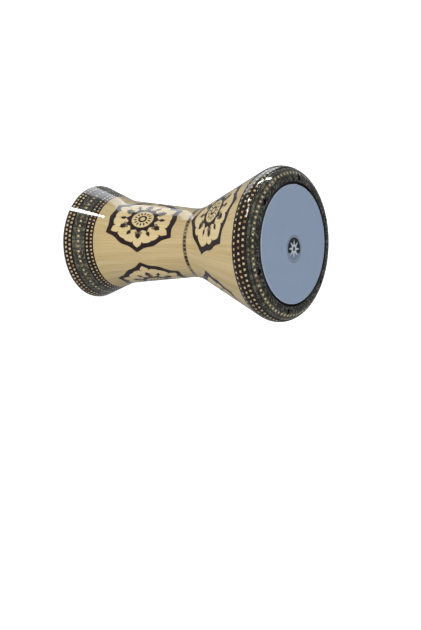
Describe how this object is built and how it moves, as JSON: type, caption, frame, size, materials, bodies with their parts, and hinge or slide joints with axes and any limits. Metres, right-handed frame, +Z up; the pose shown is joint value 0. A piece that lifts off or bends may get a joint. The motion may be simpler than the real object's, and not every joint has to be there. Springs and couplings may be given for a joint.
{
  "type": "darbuka",
  "caption": "Goblet-shaped hand drum: a flared metal shell in inlaid wood veneer, open at the foot, with a plastic head that a screwed ring stretches.",
  "frame": {"origin": "centre of the foot's lower edge, on the floor that the drum stands on", "axes": "+Z up along the drum's axis, from foot to head; one screw and one medallion of each row are towards -Y"},
  "size_m": [0.29, 0.29, 0.4655],
  "materials": {
    "casting": "cast, bare inside",
    "ring": "dark, under lacquer",
    "veneer": "gloss lacquer",
    "medallion": "gloss lacquer",
    "mosaic": "gloss lacquer over small inlaid squares",
    "film": "satin",
    "hoop": "bare",
    "steel": "plain"
  },
  "bodies": {
    "drum": {"shell": "casting", "foot_mosaic": "mosaic", "tube_veneer": "veneer", "tube_medallion_1": "medallion", "tube_medallion_2": "medallion", "tube_medallion_3": "medallion", "neck_ring": "mosaic", "bowl_veneer": "veneer", "bowl_medallion_1": "medallion", "bowl_medallion_2": "medallion", "bowl_medallion_3": "medallion", "bowl_mosaic": "mosaic", "head_film": "film", "head_hoop": "hoop", "thread_insert_1": "steel", "thread_insert_2": "steel", "thread_insert_3": "steel", "thread_insert_4": "steel", "thread_insert_5": "steel", "thread_insert_6": "steel"},
    "tension_ring": {"head_ring": "ring", "ring_mosaic": "mosaic", "screw_washer_1": "steel", "screw_washer_2": "steel", "screw_washer_3": "steel", "screw_washer_4": "steel", "screw_washer_5": "steel", "screw_washer_6": "steel"},
    "screw_1": {"tuning_screw_1": "steel"},
    "screw_2": {"tuning_screw_2": "steel"},
    "screw_3": {"tuning_screw_3": "steel"},
    "screw_4": {"tuning_screw_4": "steel"},
    "screw_5": {"tuning_screw_5": "steel"},
    "screw_6": {"tuning_screw_6": "steel"}
  },
  "joints": [
    {"name": "ring_lift", "type": "slide", "parent": "drum", "child": "tension_ring", "axis": [0, 0, 1], "range_m": [0, 0.016]},
    {"name": "screw_1_turn", "type": "hinge", "parent": "tension_ring", "child": "screw_1", "pos_m": [0, -0.1246, 0.4612], "axis": [0, 0, 1], "range_deg": [-5, 5765]},
    {"name": "screw_2_turn", "type": "hinge", "parent": "tension_ring", "child": "screw_2", "pos_m": [0.10791, -0.0623, 0.4612], "axis": [0, 0, 1], "range_deg": [-5, 5765]},
    {"name": "screw_3_turn", "type": "hinge", "parent": "tension_ring", "child": "screw_3", "pos_m": [0.10791, 0.0623, 0.4612], "axis": [0, 0, 1], "range_deg": [-5, 5765]},
    {"name": "screw_4_turn", "type": "hinge", "parent": "tension_ring", "child": "screw_4", "pos_m": [0, 0.1246, 0.4612], "axis": [0, 0, 1], "range_deg": [-5, 5765]},
    {"name": "screw_5_turn", "type": "hinge", "parent": "tension_ring", "child": "screw_5", "pos_m": [-0.10791, 0.0623, 0.4612], "axis": [0, 0, 1], "range_deg": [-5, 5765]},
    {"name": "screw_6_turn", "type": "hinge", "parent": "tension_ring", "child": "screw_6", "pos_m": [-0.10791, -0.0623, 0.4612], "axis": [0, 0, 1], "range_deg": [-5, 5765]}
  ],
  "couplings": [
    {"joint": "screw_1_turn", "follows": "ring_lift", "rad_per_m": 6283.2},
    {"joint": "screw_2_turn", "follows": "ring_lift", "rad_per_m": 6283.2},
    {"joint": "screw_3_turn", "follows": "ring_lift", "rad_per_m": 6283.2},
    {"joint": "screw_4_turn", "follows": "ring_lift", "rad_per_m": 6283.2},
    {"joint": "screw_5_turn", "follows": "ring_lift", "rad_per_m": 6283.2},
    {"joint": "screw_6_turn", "follows": "ring_lift", "rad_per_m": 6283.2}
  ]
}
